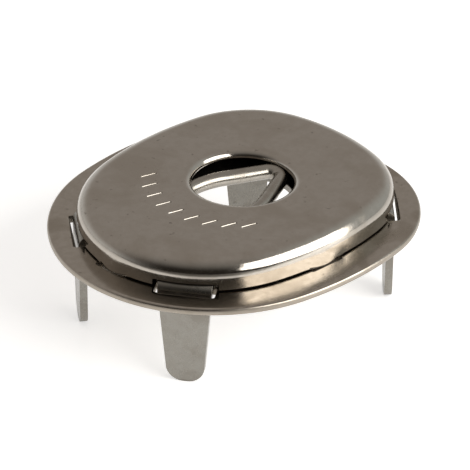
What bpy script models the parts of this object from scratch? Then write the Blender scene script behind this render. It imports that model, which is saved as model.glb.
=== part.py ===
"""Snap fastener socket that opens by lifting one end, in metres, +Z up.

The socket stands on the tips of its four prongs. X = 0 is its mirror plane and -Y is the end
that is lifted. Places in the plan are measured from the axis of the stud eye.

From below: a base plate with four windows, a seat plate whose arms pass under the cap's
skirt and are folded down through the windows as prongs, a hairpin spring that grips the
stud's neck, and a drawn cap whose lugs pass through the base plate and are folded under it.
"""

import math
from collections import namedtuple

import bmesh
import bpy
from mathutils import Matrix, Vector

MM = 0.001

# Base plate: an egg outline of tangent arcs, broad at the lift end
PLATE_FRONT = 12.65 * MM
PLATE_REAR = 10.10 * MM
PLATE_HALF_WIDTH = 10.41 * MM
PLATE_WIDEST_AHEAD = 0.31 * MM
PLATE_FLANK_RADIUS = 21.2 * MM
PLATE_CORNER_RADIUS = 8.10 * MM
PLATE_TAIL_RADIUS = 60.0 * MM
PLATE_THICKNESS = 0.50 * MM
PLATE_EDGE_ROUNDING = 0.14 * MM
PLATE_OPENING_DIAMETER = 8.4 * MM

# Cap: a drawn cup whose foot leaves the flange of the base plate free
FLANGE_FRONT = 1.73 * MM
FLANGE_SIDE = 1.98 * MM
FLANGE_REAR = 1.10 * MM
CAP_WIDEST_AHEAD = 0.13 * MM
CAP_FLANK_RADIUS = 19.2 * MM
CAP_CORNER_RADIUS = 6.45 * MM
CAP_TAIL_RADIUS = 13.3 * MM
CAP_THICKNESS = 0.48 * MM
CAP_SHOULDER_RADIUS = 1.10 * MM
SKIRT_GAP = 0.08 * MM
EYE_DIAMETER = 6.10 * MM
EYE_LIP_RADIUS = 0.42 * MM

# Lugs of the cap
LUG_WIDTH = 2.10 * MM
LUG_THICKNESS = 0.40 * MM
LUG_FOLD_RADIUS = 0.16 * MM
LUG_FOOT_LENGTH = 1.45 * MM
LUG_SKIRT_OVERLAP = 0.45 * MM
LUG_SLOT_GAP = 0.16 * MM
FLANK_LUG_SETBACK = 1.20 * MM

# Prongs: arms of the seat plate, folded down a margin inside the base plate's rim
PRONG_LENGTH = 5.80 * MM
PRONG_ROOT_WIDTH = 3.34 * MM
PRONG_TIP_WIDTH = 2.36 * MM
PRONG_TIP_RADIUS = 1.05 * MM
PRONG_FOLD_RADIUS = 0.15 * MM
PRONG_RIM_MARGIN = 1.68 * MM
PRONG_ROOT_LENGTH = 0.43 * MM
FRONT_PRONG_ANGLE = math.radians(34.5)
REAR_PRONG_ANGLE = math.radians(42.5)
ARM_SHOULDER = 0.05 * MM

# Windows in the base plate and notches in the cap's skirt, which let the arms through
ARM_SIDE_GAP = 0.28 * MM
WINDOW_OUTER_GAP = 0.50 * MM
WINDOW_INNER_GAP = 0.38 * MM
NOTCH_ROOF_GAP = 0.04 * MM

# Seat plate, which carries the spring
SEAT_THICKNESS = 0.48 * MM
SEAT_OPENING_DIAMETER = 8.0 * MM
SEAT_WALL_GAP = 0.05 * MM
STACK_GAP = 0.02 * MM

# Keepers lanced out of the seat plate, on both sides of each foot of the spring
KEEPER_WIDTH = 1.40 * MM
KEEPER_HEIGHT = 0.80 * MM
KEEPER_FOLD_RADIUS = 0.12 * MM
KEEPER_CORNER_RADIUS = 0.28 * MM
KEEPER_ROOT_LENGTH = 0.20 * MM
KEEPER_KERF = 0.12 * MM
KEEPER_GAP = 0.03 * MM

# Hairpin spring: one round wire with its bend at the rear
WIRE_DIAMETER = 0.95 * MM
WIRE_FLOOR_GAP = 0.03 * MM
WIRE_ROOF_GAP = 0.04 * MM
SPRING_APEX = 3.06 * MM
SPRING_APEX_RADIUS = 0.75 * MM
SPRING_SPLAY = math.radians(26.0)
SPRING_SHANK = 2.70 * MM
SPRING_BELLY_RADIUS = 5.0 * MM
SPRING_BELLY_TURN = math.radians(32.0)
SPRING_NECK = 0.80 * MM
SPRING_FOOT_RADIUS = 1.40 * MM
SPRING_FOOT_WALL_GAP = 0.90 * MM
SPRING_TRAVEL = 0.50 * MM

# Fineness of the facets
OUTLINE_CHORD = 0.65 * MM
SMALL_CHORD = 0.28 * MM
FOLD_STEPS = 4
CIRCLE_SIDES = 64
EDGE_SEGMENTS = 2
SHOULDER_SEGMENTS = 6
LIP_STEPS = 5
WIRE_RING_RESOLUTION = 2
SHARP_ANGLE = math.radians(35)
TINY = 0.00001 * MM

# Where the sheet keeps its length in a fold, as a share of its thickness
NEUTRAL_FIBRE = 0.4

# A tab's root is a wedge buried in its sheet, and the cut beside it starts past the fold line
ROOT_TAPER = 0.5
FOLD_RELIEF = 0.04 * MM

# Levels that follow from the stack
PLATE_TOP = PRONG_LENGTH + PLATE_THICKNESS
SEAT_BOTTOM = PLATE_TOP + STACK_GAP
SEAT_TOP = SEAT_BOTTOM + SEAT_THICKNESS
WIRE_LEVEL = SEAT_TOP + WIRE_FLOOR_GAP + WIRE_DIAMETER / 2
ROOF_BOTTOM = WIRE_LEVEL + WIRE_DIAMETER / 2 + WIRE_ROOF_GAP
CAP_TOP = ROOF_BOTTOM + CAP_THICKNESS
SKIRT_BOTTOM = PLATE_TOP + SKIRT_GAP

# The eye's axis, in a frame whose origin is the middle of the base plate
EYE_Y = (PLATE_FRONT - PLATE_REAR) / 2

UP = Vector((0, 0, 1))
Arc = namedtuple("Arc", "x y radius start end")


def clear_scene():
    for item in list(bpy.data.objects):
        bpy.data.objects.remove(item, do_unlink=True)


def add_collection(name):
    collection = bpy.data.collections.new(name)
    bpy.context.scene.collection.children.link(collection)
    return collection


def metal(name, colour, roughness):
    material = bpy.data.materials.new(name)
    material.use_nodes = True
    shader = material.node_tree.nodes["Principled BSDF"]
    shader.inputs["Base Color"].default_value = (*colour, 1)
    shader.inputs["Metallic"].default_value = 1.0
    shader.inputs["Roughness"].default_value = roughness
    return material


def egg_arcs(front, rear, half_width, widest_ahead, flank, corner, tail):
    """The arcs of the +X side, from the lift end to the rear, each tangent to the next.

    The outline is widest a little ahead of the eye, and the nose's radius follows from that.
    """
    flank_x = half_width - flank
    flank_y = -widest_ahead
    nose_room = front - widest_ahead
    nose = (flank ** 2 - flank_x ** 2 - nose_room ** 2) / (2 * (flank - nose_room))
    nose_y = nose - front
    tail_y = rear - tail
    span = math.hypot(flank_x, tail_y - flank_y)
    reach = flank - corner
    along = (reach ** 2 - (tail - corner) ** 2 + span ** 2) / (2 * span)
    across = math.sqrt(reach ** 2 - along ** 2)
    toward = Vector((-flank_x, tail_y - flank_y)) / span
    corner_x = flank_x + along * toward.x - across * toward.y
    corner_y = flank_y + along * toward.y + across * toward.x
    nose_end = math.atan2(nose_y - flank_y, -flank_x)
    flank_end = math.atan2(corner_y - flank_y, corner_x - flank_x)
    corner_end = math.atan2(corner_y - tail_y, corner_x)
    return [
        Arc(0, nose_y, nose, -math.pi / 2, nose_end),
        Arc(flank_x, flank_y, flank, nose_end, flank_end),
        Arc(corner_x, corner_y, corner, flank_end, corner_end),
        Arc(0, tail_y, tail, corner_end, math.pi / 2),
    ]


def plate_arcs():
    return egg_arcs(PLATE_FRONT, PLATE_REAR, PLATE_HALF_WIDTH, PLATE_WIDEST_AHEAD,
                    PLATE_FLANK_RADIUS, PLATE_CORNER_RADIUS, PLATE_TAIL_RADIUS)


def cap_arcs():
    return egg_arcs(PLATE_FRONT - FLANGE_FRONT, PLATE_REAR - FLANGE_REAR,
                    PLATE_HALF_WIDTH - FLANGE_SIDE, CAP_WIDEST_AHEAD,
                    CAP_FLANK_RADIUS, CAP_CORNER_RADIUS, CAP_TAIL_RADIUS)


def point_on(arc, angle, inset):
    reach = arc.radius - inset
    return Vector((arc.x + reach * math.cos(angle), arc.y + reach * math.sin(angle), 0))


def egg_outline(arcs, inset):
    """A closed loop of points, all arcs drawn in by the same inset."""
    side = []
    for arc in arcs:
        steps = math.ceil(arc.radius * (arc.end - arc.start) / OUTLINE_CHORD)
        for step in range(steps):
            side.append(point_on(arc, arc.start + (arc.end - arc.start) * step / steps, inset))
    rear = point_on(arcs[-1], math.pi / 2, inset)
    mirrored = [Vector((-point.x, point.y, 0)) for point in reversed(side[1:])]
    return side + [rear] + mirrored


def edge_point(arcs, angle, inset):
    """The point of the outline whose outward normal has this angle, and that normal."""
    arc = next(arc for arc in arcs if arc.start <= angle <= arc.end)
    return point_on(arc, angle, inset), Vector((math.cos(angle), math.sin(angle), 0))


def half_width_at(arcs, y, inset):
    """Half the width of the outline at this distance behind the eye."""
    for arc in arcs:
        reach = arc.radius - inset
        if abs(y - arc.y) < reach:
            angle = math.asin((y - arc.y) / reach)
            if arc.start <= angle <= arc.end:
                return point_on(arc, angle, inset).x
    raise ValueError("the outline doesn't reach this place")


def frame_at(origin, first, third):
    """A local frame from its origin and its first and third axes."""
    second = third.cross(first)
    matrix = Matrix((first, second, third)).transposed().to_4x4()
    matrix.translation = origin
    return matrix


def add_object(name, data, collection, root, material=None):
    item = bpy.data.objects.new(name, data)
    collection.objects.link(item)
    item.parent = root
    if material:
        data.materials.append(material)
    return item


def solid_from_outline(name, points, bottom, top):
    """A flat sheet of this outline between two levels."""
    sheet = bmesh.new()
    face = sheet.faces.new([sheet.verts.new((p.x, p.y, bottom)) for p in points])
    lifted = bmesh.ops.extrude_face_region(sheet, geom=[face])["geom"]
    corners = [item for item in lifted if isinstance(item, bmesh.types.BMVert)]
    bmesh.ops.translate(sheet, verts=corners, vec=(0, 0, top - bottom))
    bmesh.ops.recalc_face_normals(sheet, faces=sheet.faces)
    mesh = bpy.data.meshes.new(name)
    sheet.to_mesh(mesh)
    sheet.free()
    return mesh


def add_bevel(item, width, segments):
    bevel = item.modifiers.new("edge_rounding", "BEVEL")
    bevel.width = width
    bevel.segments = segments
    bevel.limit_method = "ANGLE"
    bevel.angle_limit = SHARP_ANGLE


def add_boolean(item, tool, operation):
    """Cut or join a helper solid, which stays in its own collection as a wire."""
    tool.hide_render = True
    tool.display_type = "WIRE"
    boolean = item.modifiers.new(tool.name, "BOOLEAN")
    boolean.operation = operation
    boolean.solver = "EXACT"
    boolean.object = tool


def cylinder_mesh(name, diameter, bottom, top):
    body = bmesh.new()
    bmesh.ops.create_cone(body, cap_ends=True, segments=CIRCLE_SIDES, radius1=diameter / 2,
                          radius2=diameter / 2, depth=top - bottom,
                          matrix=Matrix.Translation((0, 0, (bottom + top) / 2)))
    mesh = bpy.data.meshes.new(name)
    body.to_mesh(mesh)
    body.free()
    return mesh


def box_mesh(name, low, high):
    body = bmesh.new()
    size = high - low
    place = Matrix.Translation((low + high) / 2) @ Matrix.Diagonal((*size, 1))
    bmesh.ops.create_cube(body, size=1, matrix=place)
    mesh = bpy.data.meshes.new(name)
    body.to_mesh(mesh)
    body.free()
    return mesh


def tab_outline(start, end, root_width, tip_width, tip_radius):
    """A tapered tab with round corners at its tip, as points (along, across)."""
    half = tip_width / 2
    steps = max(2, math.ceil(tip_radius * math.pi / 2 / SMALL_CHORD))
    side = [Vector((start, root_width / 2, 0))]
    for step in range(steps + 1):
        angle = math.pi / 2 * (1 - step / steps)
        side.append(Vector((end - tip_radius + tip_radius * math.cos(angle),
                            half - tip_radius + tip_radius * math.sin(angle), 0)))
    other = [Vector((point.x, -point.y, 0)) for point in reversed(side)]
    if half - tip_radius < TINY:
        other = other[1:]
    return list(reversed(side + other))


def fold_length(thickness, radius):
    """The length of flat sheet that a fold through a right angle takes up."""
    return (radius + NEUTRAL_FIBRE * thickness) * math.pi / 2


def folded(point, thickness, radius):
    """Where a point of the flat tab goes when the tab is folded down at its line.

    The tab runs along +X from the line, and its thickness lies from 0 to +Z.
    """
    taken = fold_length(thickness, radius)
    turn = math.pi / 2 * min(max(point.x / taken, 0), 1)
    reach = radius + point.z
    before = min(point.x, 0)
    after = max(point.x - taken, 0)
    return Vector((before + reach * math.sin(turn), point.y,
                   reach * math.cos(turn) - radius - after))


def folded_tab(name, outline, thickness, radius, taper=1):
    """A flat tab cut along its fold lines and folded down through a right angle.

    The root's end may be thinner than the sheet, by the taper.
    """
    mesh = solid_from_outline(name, outline, 0, thickness)
    sheet = bmesh.new()
    sheet.from_mesh(mesh)
    for step in range(FOLD_STEPS + 1):
        line = fold_length(thickness, radius) * step / FOLD_STEPS
        everything = list(sheet.verts) + list(sheet.edges) + list(sheet.faces)
        bmesh.ops.bisect_plane(sheet, geom=everything, plane_co=(line, 0, 0),
                               plane_no=(1, 0, 0), dist=TINY)
    for corner in sheet.verts:
        if corner.co.x < -TINY:
            corner.co.z = thickness / 2 + (corner.co.z - thickness / 2) * taper
        corner.co = folded(corner.co, thickness, radius)
    sheet.to_mesh(mesh)
    sheet.free()
    return mesh


def prong_places():
    """The fold line's middle and outward direction of each prong."""
    arcs = plate_arcs()
    fold_inset = PRONG_RIM_MARGIN + SEAT_THICKNESS + PRONG_FOLD_RADIUS
    places = []
    for label, angle in (("front", FRONT_PRONG_ANGLE - math.pi / 2),
                         ("rear", math.pi / 2 - REAR_PRONG_ANGLE)):
        point, normal = edge_point(arcs, angle, fold_inset)
        for side in (-1, 1):
            flip = Vector((side, 1, 1))
            places.append((f"{label}_{'left' if side < 0 else 'right'}",
                           point * flip, normal * flip))
    return places


def lug_places():
    """The foot of the cap's wall and the outward direction at each lug."""
    arcs = cap_arcs()
    flank = arcs[1]
    flank_angle = math.asin((-FLANK_LUG_SETBACK - flank.y) / flank.radius)
    places = []
    for label, angle, sides in (("front", -math.pi / 2, (1,)), ("rear", math.pi / 2, (1,)),
                                ("flank", flank_angle, (-1, 1))):
        point, normal = edge_point(arcs, angle, 0)
        for side in sides:
            flip = Vector((side, 1, 1))
            places.append((f"{label}_{side + 1}", point * flip, normal * flip))
    return places


def spring_half():
    """The wire's centre line from the middle of the rear bend to the end of one foot.

    The wire is bent as on a former: a move is a straight run or a turn at a radius. It
    starts toward -X, and a turn to the left is positive.
    """
    place = Vector((0, SPRING_APEX, 0))
    heading = math.pi
    points = [place.copy()]
    leg_turn = math.pi / 2 - SPRING_SPLAY
    foot_turn = math.pi / 2 - SPRING_SPLAY + SPRING_BELLY_TURN
    moves = ((SPRING_APEX_RADIUS, leg_turn), (SPRING_SHANK, 0),
             (SPRING_BELLY_RADIUS, SPRING_BELLY_TURN), (SPRING_NECK, 0),
             (SPRING_FOOT_RADIUS, -foot_turn))
    for size, turn in moves:
        if turn == 0:
            place = place + size * Vector((math.cos(heading), math.sin(heading), 0))
            points.append(place.copy())
            continue
        side = math.copysign(1, turn)
        centre = place + side * size * Vector((-math.sin(heading), math.cos(heading), 0))
        steps = max(4, math.ceil(size * abs(turn) / (2 * SMALL_CHORD)))
        for step in range(1, steps + 1):
            angle = heading + turn * step / steps
            points.append(centre - side * size * Vector((-math.sin(angle), math.cos(angle), 0)))
        heading += turn
        place = points[-1]
    wall = half_width_at(cap_arcs(), place.y, CAP_THICKNESS)
    points.append(Vector((SPRING_FOOT_WALL_GAP - wall, place.y, 0)))
    return points


def keeper_places():
    """The fold line's middle and direction of each keeper, around the spring's feet."""
    half = spring_half()
    foot_start, foot_end = half[-2], half[-1]
    middle = (foot_start.x + foot_end.x) / 2
    ahead = foot_end.y - WIRE_DIAMETER / 2 - KEEPER_GAP + KEEPER_FOLD_RADIUS
    behind = foot_end.y + WIRE_DIAMETER / 2 + SPRING_TRAVEL + KEEPER_GAP - KEEPER_FOLD_RADIUS
    places = []
    for side in (-1, 1):
        places.append((f"ahead_{side + 1}", Vector((-side * middle, ahead, 0)), Vector((0, -1, 0))))
        places.append((f"behind_{side + 1}", Vector((-side * middle, behind, 0)), Vector((0, 1, 0))))
    return places


def make_base_plate(parts, tools, root, material):
    outline = egg_outline(plate_arcs(), 0)
    mesh = solid_from_outline("base_plate", outline, PRONG_LENGTH, PLATE_TOP)
    plate = add_object("base_plate", mesh, parts, root, material)
    add_bevel(plate, PLATE_EDGE_ROUNDING, EDGE_SEGMENTS)
    opening = cylinder_mesh("plate_opening", PLATE_OPENING_DIAMETER,
                            PRONG_LENGTH - PLATE_THICKNESS, PLATE_TOP + PLATE_THICKNESS)
    add_boolean(plate, add_object("plate_opening", opening, tools, root), "DIFFERENCE")
    for label, point, normal in lug_places():
        add_boolean(plate, lug_slot(label, point, normal, tools, root), "DIFFERENCE")
    for label, point, normal in prong_places():
        add_boolean(plate, window(label, point, normal, tools, root), "DIFFERENCE")
    return plate


def arm_half_width():
    return PRONG_ROOT_WIDTH / 2 + ARM_SHOULDER


def window(label, point, normal, tools, root):
    """The hole in the base plate that a prong goes down through."""
    half = arm_half_width() + ARM_SIDE_GAP
    outer_face = PRONG_FOLD_RADIUS + SEAT_THICKNESS
    low = Vector((PRONG_FOLD_RADIUS - WINDOW_INNER_GAP, -half, -PLATE_THICKNESS))
    high = Vector((outer_face + WINDOW_OUTER_GAP, half, 2 * PLATE_THICKNESS))
    hole = add_object(f"window_{label}", box_mesh(f"window_{label}", low, high), tools, root)
    hole.matrix_local = frame_at(point + PRONG_LENGTH * UP, normal, UP)
    return hole


def lug_inset():
    """How far the lug's outer face lies inside the cap's wall."""
    return (CAP_THICKNESS - LUG_THICKNESS) / 2


def lug(label, point, normal, tools, root):
    """A strip that runs down from the skirt and is folded in under the base plate."""
    top = SKIRT_BOTTOM + LUG_SKIRT_OVERLAP
    fold_level = PRONG_LENGTH - STACK_GAP + LUG_FOLD_RADIUS
    taken = fold_length(LUG_THICKNESS, LUG_FOLD_RADIUS)
    outline = tab_outline(fold_level - top, taken + LUG_FOOT_LENGTH, LUG_WIDTH,
                          LUG_WIDTH, LUG_THICKNESS)
    mesh = folded_tab(f"lug_{label}", outline, LUG_THICKNESS, LUG_FOLD_RADIUS)
    strip = add_object(f"lug_{label}", mesh, tools, root)
    inner_face = point - normal * (lug_inset() + LUG_THICKNESS)
    strip.matrix_local = frame_at(inner_face + fold_level * UP, -UP, normal)
    return strip


def lug_slot(label, point, normal, tools, root):
    inward = lug_inset() + LUG_THICKNESS + LUG_FOLD_RADIUS
    half = LUG_WIDTH / 2 + LUG_SLOT_GAP
    low = Vector((-LUG_SLOT_GAP, -half, -PLATE_THICKNESS))
    high = Vector((inward, half, 2 * PLATE_THICKNESS))
    mesh = box_mesh(f"lug_slot_{label}", low, high)
    slot = add_object(f"lug_slot_{label}", mesh, tools, root)
    slot.matrix_local = frame_at(point + PRONG_LENGTH * UP, -normal, UP)
    return slot


def with_arm(outline, point, normal):
    """The outline, which runs to the left around its middle, with an arm to a fold line."""
    along = Vector((-normal.y, normal.x, 0))
    half = arm_half_width()
    result = []
    for here, after in zip(outline, outline[1:] + outline[:1]):
        start = (here - point).dot(along)
        end = (after - point).dot(along)
        near = (here - point).dot(normal) > -half
        if not near or abs(start) > half:
            result.append(here)
        for edge in (-half, half):
            if near and start < edge <= end:
                crossing = here.lerp(after, (edge - start) / (end - start))
                corner = point + edge * along + FOLD_RELIEF * normal
                result += [crossing, corner] if edge < 0 else [corner, crossing]
    return result


def seat_outline():
    """The cap's inside outline with the four arms that become the prongs."""
    outline = egg_outline(cap_arcs(), CAP_THICKNESS + SEAT_WALL_GAP)
    for label, point, normal in prong_places():
        outline = with_arm(outline, point, normal)
    return outline


def prong(label, point, normal, tools, root):
    taken = fold_length(SEAT_THICKNESS, PRONG_FOLD_RADIUS)
    outline = tab_outline(-PRONG_ROOT_LENGTH, taken + SEAT_BOTTOM - PRONG_FOLD_RADIUS,
                          PRONG_ROOT_WIDTH, PRONG_TIP_WIDTH, PRONG_TIP_RADIUS)
    mesh = folded_tab(f"prong_{label}", outline, SEAT_THICKNESS, PRONG_FOLD_RADIUS, ROOT_TAPER)
    blade = add_object(f"prong_{label}", mesh, tools, root)
    blade.matrix_local = frame_at(point + SEAT_BOTTOM * UP, normal, UP)
    return blade


def make_seat_plate(parts, tools, root, material):
    mesh = solid_from_outline("seat_plate", seat_outline(), SEAT_BOTTOM, SEAT_TOP)
    seat = add_object("seat_plate", mesh, parts, root, material)
    opening = cylinder_mesh("seat_opening", SEAT_OPENING_DIAMETER,
                            SEAT_BOTTOM - SEAT_THICKNESS, SEAT_TOP + SEAT_THICKNESS)
    add_boolean(seat, add_object("seat_opening", opening, tools, root), "DIFFERENCE")
    for label, point, away in keeper_places():
        add_boolean(seat, keeper_slot(label, point, away, tools, root), "DIFFERENCE")
    for label, point, away in keeper_places():
        add_boolean(seat, keeper(label, point, away, tools, root), "UNION")
    for label, point, normal in prong_places():
        add_boolean(seat, prong(label, point, normal, tools, root), "UNION")
    return seat


def keeper_blank_length():
    taken = fold_length(SEAT_THICKNESS, KEEPER_FOLD_RADIUS)
    return taken + KEEPER_HEIGHT - KEEPER_FOLD_RADIUS


def keeper(label, point, away, tools, root):
    """A tab folded up out of the seat plate; the spring's foot lies before its inner face."""
    outline = tab_outline(-KEEPER_ROOT_LENGTH, keeper_blank_length(), KEEPER_WIDTH,
                          KEEPER_WIDTH, KEEPER_CORNER_RADIUS)
    mesh = folded_tab(f"keeper_{label}", outline, SEAT_THICKNESS, KEEPER_FOLD_RADIUS,
                      ROOT_TAPER)
    tab = add_object(f"keeper_{label}", mesh, tools, root)
    tab.matrix_local = frame_at(point + SEAT_TOP * UP, away, -UP)
    return tab


def keeper_slot(label, point, away, tools, root):
    half = KEEPER_WIDTH / 2 + KEEPER_KERF
    low = Vector((FOLD_RELIEF, -half, -SEAT_THICKNESS))
    high = Vector((keeper_blank_length() + KEEPER_KERF, half, 2 * SEAT_THICKNESS))
    mesh = box_mesh(f"keeper_slot_{label}", low, high)
    slot = add_object(f"keeper_slot_{label}", mesh, tools, root)
    slot.matrix_local = frame_at(point + SEAT_TOP * UP, away, -UP)
    return slot


def make_cap(parts, tools, root, material):
    """A drawn cup: the outer skin of the roof and the wall, thickened inward."""
    skin = bmesh.new()
    outline = egg_outline(cap_arcs(), 0)
    roof = skin.faces.new([skin.verts.new((p.x, p.y, CAP_TOP)) for p in outline])
    wall = bmesh.ops.extrude_edge_only(skin, edges=list(roof.edges))["geom"]
    foot = [item for item in wall if isinstance(item, bmesh.types.BMVert)]
    bmesh.ops.translate(skin, verts=foot, vec=(0, 0, SKIRT_BOTTOM - CAP_TOP))
    bmesh.ops.recalc_face_normals(skin, faces=skin.faces)
    if roof.normal.z < 0:
        bmesh.ops.reverse_faces(skin, faces=skin.faces)
    mesh = bpy.data.meshes.new("cap")
    skin.to_mesh(mesh)
    skin.free()
    cap = add_object("cap", mesh, parts, root, material)
    add_bevel(cap, CAP_SHOULDER_RADIUS, SHOULDER_SEGMENTS)
    thicken = cap.modifiers.new("sheet", "SOLIDIFY")
    thicken.thickness = CAP_THICKNESS
    thicken.offset = -1
    thicken.use_even_offset = True
    for label, point, normal in lug_places():
        add_boolean(cap, lug(label, point, normal, tools, root), "UNION")
    for label, point, normal in prong_places():
        add_boolean(cap, notch(label, point, normal, tools, root), "DIFFERENCE")
    add_boolean(cap, eye_cutter(tools, root), "DIFFERENCE")
    return cap


def notch(label, point, normal, tools, root):
    """A cut in the skirt's foot, through the whole wall, that an arm passes out through."""
    half = arm_half_width() + ARM_SIDE_GAP
    low = Vector((-half, -half, SKIRT_BOTTOM - CAP_THICKNESS))
    high = Vector((half, half, SEAT_TOP + NOTCH_ROOF_GAP))
    cut = add_object(f"notch_{label}", box_mesh(f"notch_{label}", low, high), tools, root)
    cut.matrix_local = frame_at(point, normal, UP)
    return cut


def eye_cutter(tools, root):
    """A turned cutter that rounds the eye's upper edge over."""
    radius = EYE_DIAMETER / 2
    above = CAP_TOP + CAP_THICKNESS
    below = ROOF_BOTTOM - CAP_THICKNESS
    profile = [Vector((0, 0, above)), Vector((radius + EYE_LIP_RADIUS, 0, above))]
    for step in range(LIP_STEPS + 1):
        angle = math.pi / 2 * step / LIP_STEPS
        profile.append(Vector((radius + EYE_LIP_RADIUS * (1 - math.sin(angle)), 0,
                               CAP_TOP - EYE_LIP_RADIUS * (1 - math.cos(angle)))))
    profile += [Vector((radius, 0, below)), Vector((0, 0, below))]
    mesh = bpy.data.meshes.new("eye_cutter")
    edges = [(i, i + 1) for i in range(len(profile) - 1)]
    mesh.from_pydata(profile, edges, [])
    cutter = add_object("eye_cutter", mesh, tools, root)
    screw = cutter.modifiers.new("turn", "SCREW")
    screw.steps = CIRCLE_SIDES
    screw.render_steps = CIRCLE_SIDES
    screw.use_merge_vertices = True
    screw.merge_threshold = TINY
    return cutter


def make_spring(parts, root, material):
    """The hairpin, with its origin on the line that it slides along."""
    half = spring_half()
    other = [Vector((-point.x, point.y, 0)) for point in reversed(half[1:])]
    path = other + half
    curve = bpy.data.curves.new("latch_spring", "CURVE")
    curve.dimensions = "3D"
    curve.bevel_depth = WIRE_DIAMETER / 2
    curve.bevel_resolution = WIRE_RING_RESOLUTION
    curve.use_fill_caps = True
    spline = curve.splines.new("POLY")
    spline.points.add(len(path) - 1)
    for slot, point in zip(spline.points, path):
        slot.co = (*point, 1)
    spring = add_object("latch_spring", curve, parts, root, material)
    spring.location = (0, 0, WIRE_LEVEL)
    return spring


def shade(item):
    if item.type == "MESH":
        item.data.shade_smooth()
        item.data.set_sharp_from_angle(angle=SHARP_ANGLE)


def main():
    clear_scene()
    parts = add_collection("snap_fastener_socket")
    tools = add_collection("cutters_and_tabs")
    root = bpy.data.objects.new("eye_axis", None)
    root.location = (0, EYE_Y, 0)
    parts.objects.link(root)
    nickel = metal("nickel_plate", (0.55, 0.52, 0.47), 0.22)
    bright = metal("bright_nickel", (0.58, 0.56, 0.51), 0.28)
    spring_wire = metal("spring_wire", (0.62, 0.59, 0.54), 0.16)
    make_base_plate(parts, tools, root, nickel)
    make_seat_plate(parts, tools, root, bright)
    make_cap(parts, tools, root, nickel)
    make_spring(parts, root, spring_wire)
    for item in parts.objects:
        shade(item)


main()
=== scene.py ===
"""Looks of the snap fastener socket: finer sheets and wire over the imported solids, their
plated metal, a pale floor and soft studio light."""

import math
from collections import namedtuple

import bmesh
import bpy
from mathutils import Matrix, Vector


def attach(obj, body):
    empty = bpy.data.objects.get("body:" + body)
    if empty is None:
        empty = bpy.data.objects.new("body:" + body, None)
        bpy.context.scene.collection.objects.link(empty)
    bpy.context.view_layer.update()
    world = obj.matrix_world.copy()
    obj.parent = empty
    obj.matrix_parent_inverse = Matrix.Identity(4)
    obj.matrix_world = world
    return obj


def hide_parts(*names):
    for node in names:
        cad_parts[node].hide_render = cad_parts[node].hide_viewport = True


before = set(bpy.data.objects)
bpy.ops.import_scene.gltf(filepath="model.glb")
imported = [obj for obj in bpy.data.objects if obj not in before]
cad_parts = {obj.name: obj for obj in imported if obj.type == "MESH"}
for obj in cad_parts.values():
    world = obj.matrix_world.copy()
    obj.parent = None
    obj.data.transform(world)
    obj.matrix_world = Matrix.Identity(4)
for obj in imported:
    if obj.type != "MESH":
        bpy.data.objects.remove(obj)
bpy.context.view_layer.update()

MM = 0.001

# Plan of the socket, measured from the axis of the stud eye; -Y is the end that is lifted
EYE_Y = 1.275 * MM
PLATE_FRONT = 12.65 * MM
PLATE_REAR = 10.10 * MM
PLATE_HALF_WIDTH = 10.41 * MM
PLATE_WIDEST_AHEAD = 0.31 * MM
PLATE_FLANK_RADIUS = 21.2 * MM
PLATE_CORNER_RADIUS = 8.10 * MM
PLATE_TAIL_RADIUS = 60.0 * MM
PLATE_OPENING_RADIUS = 4.2 * MM
FLANGE_FRONT = 1.73 * MM
FLANGE_SIDE = 1.98 * MM
FLANGE_REAR = 1.10 * MM
CAP_WIDEST_AHEAD = 0.13 * MM
CAP_FLANK_RADIUS = 19.2 * MM
CAP_CORNER_RADIUS = 6.45 * MM
CAP_TAIL_RADIUS = 13.3 * MM

# Levels above the prong tips
PLATE_BOTTOM = 5.80 * MM
PLATE_TOP = 6.30 * MM
SKIRT_BOTTOM = 6.38 * MM
SEAT_BOTTOM = 6.32 * MM
SEAT_TOP = 6.80 * MM
NOTCH_TOP = 6.84 * MM
WIRE_LEVEL = 7.305 * MM
ROOF_BOTTOM = 7.82 * MM
CAP_TOP = 8.30 * MM

# Sheets
PLATE_EDGE_ROUNDING = 0.17 * MM
CAP_THICKNESS = CAP_TOP - ROOF_BOTTOM
SHOULDER_RADIUS = 1.10 * MM
FOOT_ROUNDING = 0.08 * MM
EYE_RADIUS = 3.15 * MM
EYE_LIP_REACH = 0.58 * MM
EYE_LIP_DROP = 0.475 * MM
SEAT_THICKNESS = SEAT_TOP - SEAT_BOTTOM
SEAT_OPENING_RADIUS = 3.20 * MM
SEAT_INSET = 0.53 * MM
CUT_ROUNDING = 0.05 * MM
PUNCH_ROLL = 0.07 * MM
PUNCH_CORNER = 0.14 * MM

# Arms of the seat plate, folded down as prongs through the windows of the base plate
PRONG_ROOT_WIDTH = 3.34 * MM
PRONG_TIP_WIDTH = 2.36 * MM
PRONG_TIP_RADIUS = 1.05 * MM
PRONG_FOLD_RADIUS = 0.15 * MM
PRONG_RIM_MARGIN = 1.68 * MM
FRONT_PRONG_ANGLE = math.radians(34.5)
REAR_PRONG_ANGLE = math.radians(42.5)
ARM_HALF_WIDTH = 1.72 * MM
ARM_SIDE_GAP = 0.28 * MM
WINDOW_OUTER_GAP = 0.47 * MM
WINDOW_INNER_GAP = 0.38 * MM
WINDOW_SIDE_GAP = 0.12 * MM
WINDOW_DRAWN_IN = 0.22 * MM
WINDOW_DRAWN_DEPTH = 0.12 * MM

# Keepers lanced up out of the seat plate beside the spring's feet
KEEPER_WIDTH = 1.40 * MM
KEEPER_HEIGHT = 0.80 * MM
KEEPER_FOLD_RADIUS = 0.12 * MM
KEEPER_CORNER_RADIUS = 0.28 * MM
KEEPER_ROOT_LENGTH = 0.20 * MM
KEEPER_KERF = 0.12 * MM
KEEPER_GAP = 0.03 * MM

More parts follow.
